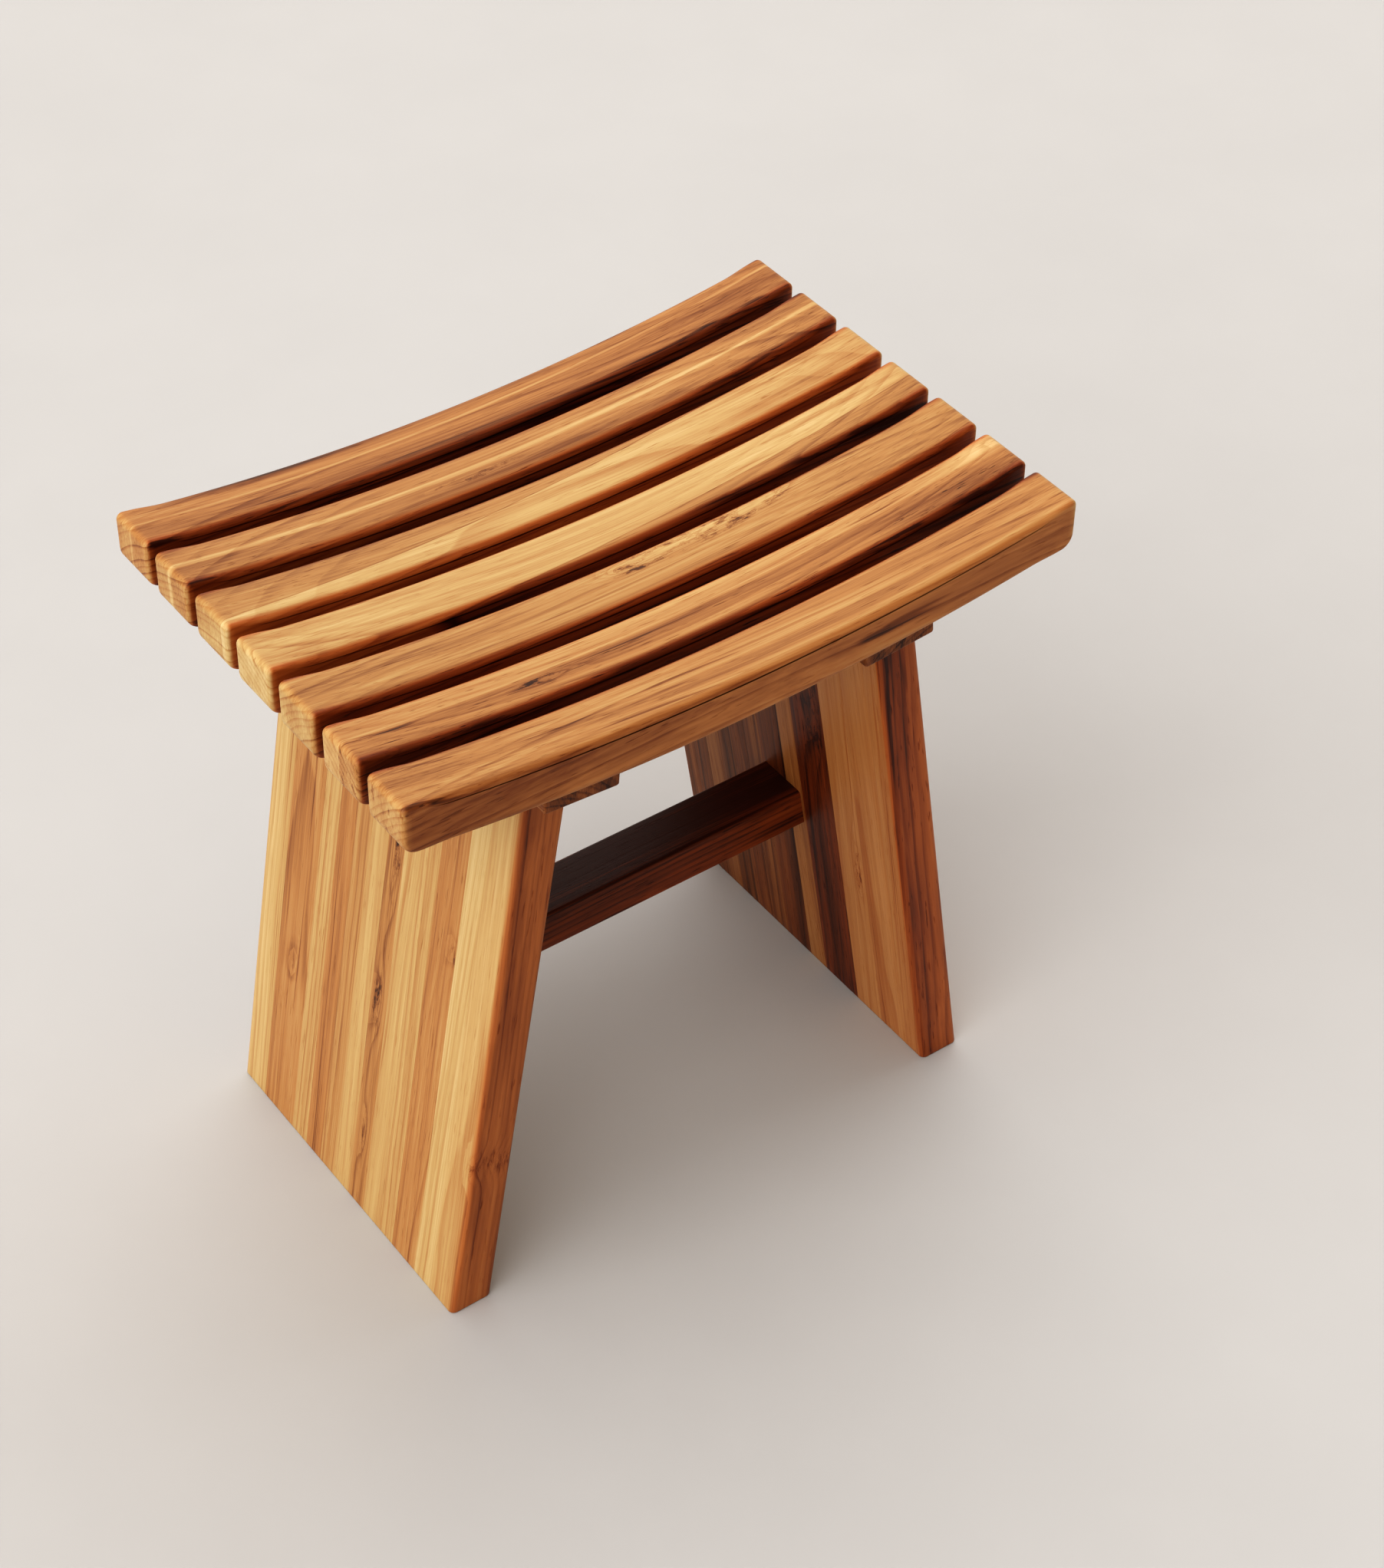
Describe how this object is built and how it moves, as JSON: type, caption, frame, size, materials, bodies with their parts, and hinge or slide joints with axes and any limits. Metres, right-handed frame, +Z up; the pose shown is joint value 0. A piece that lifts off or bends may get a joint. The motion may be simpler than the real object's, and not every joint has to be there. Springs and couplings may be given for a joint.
{
  "type": "shower stool",
  "caption": "Teak shower stool: curved, dished slatted seat on two splayed solid leg panels joined by a low stretcher.",
  "frame": {"origin": "on the floor, under the middle of the seat", "axes": "+Z up, +X along the slats from one leg panel to the other, +Y across the slats"},
  "size_m": [0.457, 0.305, 0.4573],
  "materials": {
    "slat_teak": "oiled teak, satin",
    "panel_teak": "oiled teak strips, satin",
    "frame_teak": "oiled dark teak, satin",
    "screw_steel": "stainless steel",
    "dowel_beech": "plain beech"
  },
  "bodies": {
    "root": {"slat_1": "slat_teak", "slat_2": "slat_teak", "slat_3": "slat_teak", "slat_4": "slat_teak", "slat_5": "slat_teak", "slat_6": "slat_teak", "slat_7": "slat_teak", "left_strip_01": "panel_teak", "left_strip_02": "panel_teak", "left_strip_03": "panel_teak", "left_strip_04": "panel_teak", "left_strip_05": "panel_teak", "left_strip_06": "panel_teak", "left_strip_07": "panel_teak", "left_strip_08": "panel_teak", "left_strip_09": "panel_teak", "left_strip_10": "panel_teak", "left_strip_11": "panel_teak", "left_strip_12": "panel_teak", "right_strip_01": "panel_teak", "right_strip_02": "panel_teak", "right_strip_03": "panel_teak", "right_strip_04": "panel_teak", "right_strip_05": "panel_teak", "right_strip_06": "panel_teak", "right_strip_07": "panel_teak", "right_strip_08": "panel_teak", "right_strip_09": "panel_teak", "right_strip_10": "panel_teak", "right_strip_11": "panel_teak", "right_strip_12": "panel_teak", "left_cleat": "frame_teak", "right_cleat": "frame_teak", "stretcher": "frame_teak", "slat_screws": "screw_steel", "leg_dowels": "dowel_beech", "stretcher_dowels": "dowel_beech"}
  },
  "joints": []
}
